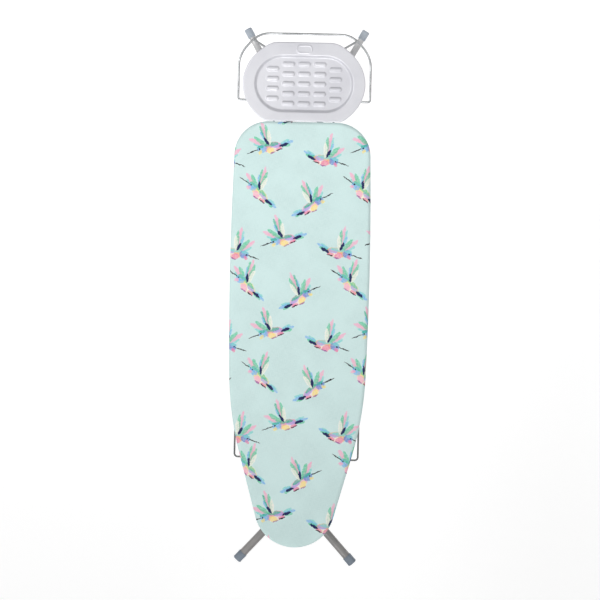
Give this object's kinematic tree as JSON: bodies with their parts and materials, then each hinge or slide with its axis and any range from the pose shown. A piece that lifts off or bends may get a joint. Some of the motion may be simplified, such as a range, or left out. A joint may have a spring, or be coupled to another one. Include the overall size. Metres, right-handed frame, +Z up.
{
  "type": "ironing board",
  "caption": "Folding full-size ironing board with a printed cover, tapered nose, pressed iron rest, wire hanging rail and scissor legs with splayed feet.",
  "frame": {"origin": "on the floor under the scissor pin, at the middle of the folded board", "axes": "+Z up through the cover of the folded board, +Y towards the iron rest, +X to the right seen from above with the iron rest at the top"},
  "size_m": [0.3798, 1.464, 0.0758],
  "materials": {
    "printed_cotton": "woven cotton, mint with a loose painted bird print",
    "felt": "needled felt",
    "deck_steel": "galvanised sheet steel",
    "frame_paint": "grey powder coat",
    "inner_leg_paint": "grey powder coat",
    "outer_leg_paint": "light grey powder coat",
    "zinc_steel": "bright zinc plate",
    "spring_steel": "oiled spring wire",
    "bright_wire": "bright plated wire",
    "grey_wire": "grey coated wire",
    "tray_metal": "pressed sheet, satin silver lacquer",
    "nylon_white": "natural nylon",
    "nylon_black": "black nylon",
    "cap_plastic": "blue-grey moulded plastic"
  },
  "bodies": {
    "deck": {"cover": "printed_cotton", "padding": "felt", "deck_sheet": "deck_steel", "rim_tube": "frame_paint", "cross_bars": "frame_paint", "pivot_bracket_left": "frame_paint", "pivot_bracket_right": "frame_paint", "pivot_rod": "zinc_steel", "pivot_spacers": "nylon_white", "pivot_nuts": "zinc_steel", "slotted_rail_left": "deck_steel", "slotted_rail_right": "deck_steel", "rail_rivets": "zinc_steel", "bail_lugs": "frame_paint", "return_springs": "spring_steel", "tray_wires": "bright_wire", "wire_clips": "deck_steel", "hanging_rail": "bright_wire", "iron_tray": "tray_metal", "tray_clips": "deck_steel"},
    "inner_legs": {"inner_tube_left": "inner_leg_paint", "inner_tube_right": "inner_leg_paint", "inner_brace": "inner_leg_paint", "scissor_pin": "zinc_steel", "scissor_nut": "zinc_steel", "scissor_spacers": "nylon_white", "nose_cap_left": "cap_plastic", "nose_cap_right": "cap_plastic"},
    "outer_legs": {"outer_tube_left": "outer_leg_paint", "outer_tube_right": "outer_leg_paint", "outer_brace": "outer_leg_paint", "slider_bar": "zinc_steel", "slider_spacers": "nylon_white", "slider_glides": "nylon_black", "rest_cap_left": "cap_plastic", "rest_cap_right": "cap_plastic"},
    "release": {"release_bail": "grey_wire", "height_strip": "zinc_steel"}
  },
  "joints": [
    {"name": "leg_fold", "type": "hinge", "parent": "deck", "child": "inner_legs", "pos_m": [0, 0.4199, 0.038], "axis": [1, 0, 0], "range_deg": [0, 48]},
    {"name": "scissor", "type": "hinge", "parent": "inner_legs", "child": "outer_legs", "pos_m": [0, 0, 0.02878], "axis": [1, 0, 0], "range_deg": [-96, 0]},
    {"name": "release", "type": "hinge", "parent": "deck", "child": "release", "pos_m": [0, 0.2, 0.0485], "axis": [1, 0, 0], "range_deg": [0, 1.1]}
  ],
  "couplings": [
    {"joint": "scissor", "follows": "leg_fold", "ratio": -2}
  ]
}
